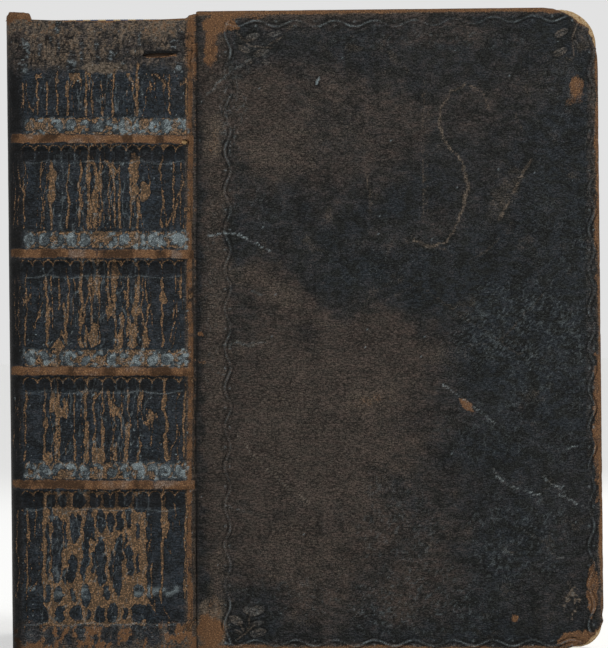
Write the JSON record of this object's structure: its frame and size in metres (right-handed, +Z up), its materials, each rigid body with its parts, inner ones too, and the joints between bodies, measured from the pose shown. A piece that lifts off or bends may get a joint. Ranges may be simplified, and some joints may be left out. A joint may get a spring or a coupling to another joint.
{
  "type": "antique leather book",
  "caption": "Old calf-bound book with raised bands, standing upright with its front cover opened a quarter turn.",
  "frame": {"origin": "middle of the footprint on the surface that the book stands on, under its tail edges", "axes": "+Z up from the tail to the head, +Y from the spine towards the fore-edge of the leaves, +X from the closed back cover towards the opened front cover"},
  "size_m": [0.197, 0.1448, 0.214],
  "materials": {
    "leather": "worn calf, satin",
    "pasteboard": "bare pasteboard",
    "leaves": "aged paper edges",
    "endpaper": "aged endpaper",
    "cord": "hemp cord",
    "endband": "silk over a core",
    "lining": "waste paper and glue"
  },
  "bodies": {
    "book_block": {"text_block": "leaves", "front_flyleaf": "endpaper", "back_flyleaf": "endpaper", "head_endband": "endband", "tail_endband": "endband", "spine_leather": "leather", "sewing_cord_1": "cord", "sewing_cord_2": "cord", "sewing_cord_3": "cord", "sewing_cord_4": "cord", "spine_lining_1": "lining", "spine_lining_2": "lining", "spine_lining_3": "lining", "spine_lining_4": "lining", "spine_lining_5": "lining"},
    "front_cover": {"front_board": "pasteboard", "front_leather": "leather", "front_pastedown": "endpaper", "front_cord_slip_1": "cord", "front_cord_slip_2": "cord", "front_cord_slip_3": "cord", "front_cord_slip_4": "cord"},
    "back_cover": {"back_board": "pasteboard", "back_leather": "leather", "back_pastedown": "endpaper", "back_cord_slip_1": "cord", "back_cord_slip_2": "cord", "back_cord_slip_3": "cord", "back_cord_slip_4": "cord"}
  },
  "joints": [
    {"name": "front_joint", "type": "hinge", "parent": "book_block", "child": "front_cover", "pos_m": [-0.03665, -0.0628, 0.107], "axis": [0, 0, 1], "range_deg": [-90, 90]},
    {"name": "back_joint", "type": "hinge", "parent": "book_block", "child": "back_cover", "pos_m": [-0.09855, -0.0628, 0.107], "axis": [0, 0, 1], "range_deg": [0, 180]}
  ]
}
